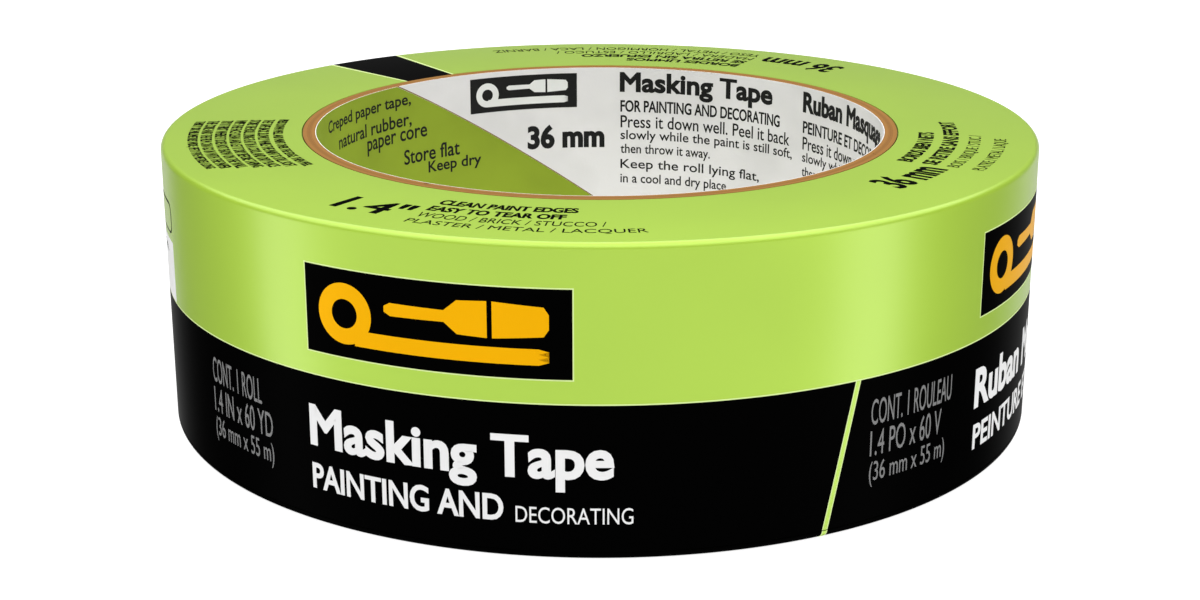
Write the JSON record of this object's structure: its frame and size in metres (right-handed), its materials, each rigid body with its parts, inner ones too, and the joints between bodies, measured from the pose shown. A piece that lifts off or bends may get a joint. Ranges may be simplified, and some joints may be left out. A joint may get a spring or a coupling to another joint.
{
  "type": "masking tape roll",
  "caption": "Film-wrapped roll of masking tape on a spiral-wound cardboard core with a printed liner; the wrap lifts off along the axis.",
  "frame": {"origin": "centre of the face that the roll lies on, on the core's axis", "axes": "+Z along the core's axis, upwards; -Y towards the printed front of the wrap"},
  "size_m": [0.1166, 0.1166, 0.0375],
  "materials": {
    "liner_paper": "satin printed paper",
    "chipboard": "matte",
    "crepe_tape": "matte creped paper",
    "printed_film": "gloss shrink film"
  },
  "bodies": {
    "roll": {"core_liner": "liner_paper", "core_inner_ply": "chipboard", "core_middle_ply": "chipboard", "core_outer_ply": "chipboard", "tape_winding": "crepe_tape", "tape_outer_turn": "crepe_tape", "wrap_bottom_fold": "printed_film"},
    "wrap": {"wrap_wall": "printed_film", "wrap_top_fold": "printed_film"}
  },
  "joints": [
    {"name": "wrap_lift", "type": "slide", "parent": "roll", "child": "wrap", "axis": [0, 0, 1], "range_m": [0, 0.06]}
  ]
}
